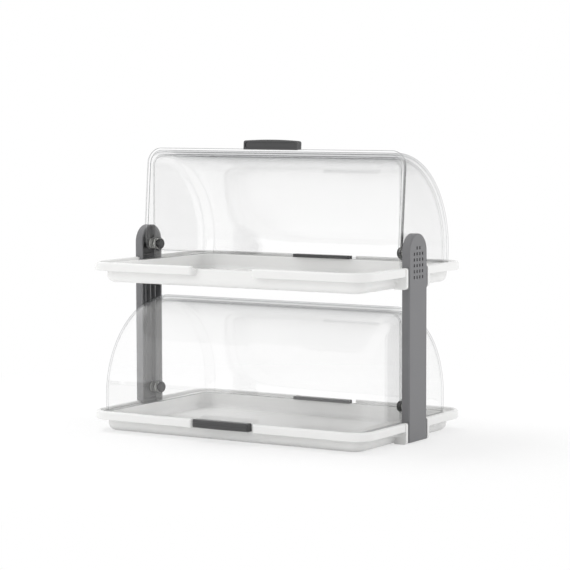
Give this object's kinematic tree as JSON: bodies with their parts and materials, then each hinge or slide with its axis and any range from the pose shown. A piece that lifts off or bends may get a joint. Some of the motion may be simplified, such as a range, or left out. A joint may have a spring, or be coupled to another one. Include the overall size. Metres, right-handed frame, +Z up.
{
  "type": "countertop bread display bin",
  "caption": "Two-tier countertop roll-top display: white trays on side uprights, each tray under clear front and rear covers that roll back over each other on side pivots.",
  "frame": {"origin": "middle of the lower tray's underside, on the counter", "axes": "+X to the right along the long side, +Y to the back, +Z up; the front is -Y"},
  "size_m": [0.441, 0.2887, 0.3998],
  "materials": {
    "tray": "glossy white moulded polypropylene",
    "upright": "satin dark grey moulded ABS",
    "pivot_block": "dull dark grey moulded ABS",
    "knob": "satin black moulded nylon",
    "ring": "natural moulded acetal",
    "front_cover": "clear moulded styrene acrylonitrile",
    "rear_cover": "clear moulded styrene acrylonitrile",
    "handle": "satin dark grey moulded ABS"
  },
  "bodies": {
    "stand": {"lower_tray": "tray", "upper_tray": "tray", "left_upright": "upright", "right_upright": "upright", "lower_left_pivot_block": "pivot_block", "lower_right_pivot_block": "pivot_block", "upper_left_pivot_block": "pivot_block", "upper_right_pivot_block": "pivot_block", "lower_left_knob": "knob", "lower_right_knob": "knob", "upper_left_knob": "knob", "upper_right_knob": "knob", "lower_left_collar": "ring", "lower_right_collar": "ring", "upper_left_collar": "ring", "upper_right_collar": "ring", "lower_left_washer": "ring", "lower_right_washer": "ring", "upper_left_washer": "ring", "upper_right_washer": "ring"},
    "lower_front_lid": {"lower_front_cover": "front_cover", "lower_front_handle": "handle"},
    "lower_rear_lid": {"lower_rear_cover": "rear_cover", "lower_rear_handle": "handle"},
    "upper_front_lid": {"upper_front_cover": "front_cover", "upper_front_handle": "handle"},
    "upper_rear_lid": {"upper_rear_cover": "rear_cover", "upper_rear_handle": "handle"}
  },
  "joints": [
    {"name": "lower_front_roll", "type": "hinge", "parent": "stand", "child": "lower_front_lid", "pos_m": [0, 0, 0.046], "axis": [-1, 0, 0], "range_deg": [0, 95]},
    {"name": "lower_rear_roll", "type": "hinge", "parent": "stand", "child": "lower_rear_lid", "pos_m": [0, 0, 0.046], "axis": [-1, 0, 0], "range_deg": [-95, 0]},
    {"name": "upper_front_roll", "type": "hinge", "parent": "stand", "child": "upper_front_lid", "pos_m": [0, 0, 0.251], "axis": [-1, 0, 0], "range_deg": [-95, 0]},
    {"name": "upper_rear_roll", "type": "hinge", "parent": "stand", "child": "upper_rear_lid", "pos_m": [0, 0, 0.251], "axis": [-1, 0, 0], "range_deg": [-95, 0]}
  ]
}
